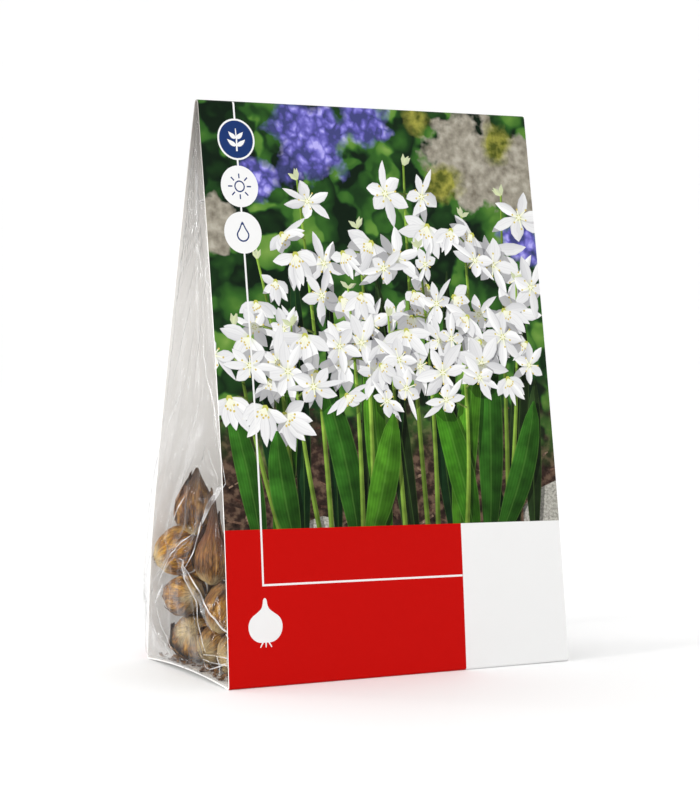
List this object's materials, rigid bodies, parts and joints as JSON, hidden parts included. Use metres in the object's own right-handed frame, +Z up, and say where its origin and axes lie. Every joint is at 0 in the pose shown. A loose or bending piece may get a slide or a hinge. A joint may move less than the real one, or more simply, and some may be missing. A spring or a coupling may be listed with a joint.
{
  "type": "flower bulb retail pack",
  "caption": "Tent-shaped retail pack of spring flower bulbs: a folded printed card sleeve round a clear film bag that holds small brown bulbs.",
  "frame": {"origin": "middle of the pack's footprint, on the surface it stands on", "axes": "+Z up, X along the top fold, -Y towards the front panel"},
  "size_m": [0.1748, 0.0829, 0.2402],
  "materials": {
    "card": "coated printed card, semi-gloss outside, bare board inside",
    "film": "clear thin film, glossy, creased",
    "bulb_skin": "dry papery skin, satin"
  },
  "bodies": {
    "root": {"card_sleeve": "card", "film_bag": "film", "bulb_01": "bulb_skin", "bulb_02": "bulb_skin", "bulb_03": "bulb_skin", "bulb_04": "bulb_skin", "bulb_05": "bulb_skin", "bulb_06": "bulb_skin", "bulb_07": "bulb_skin", "bulb_08": "bulb_skin", "bulb_09": "bulb_skin", "bulb_10": "bulb_skin", "bulb_11": "bulb_skin", "bulb_12": "bulb_skin"}
  },
  "joints": []
}
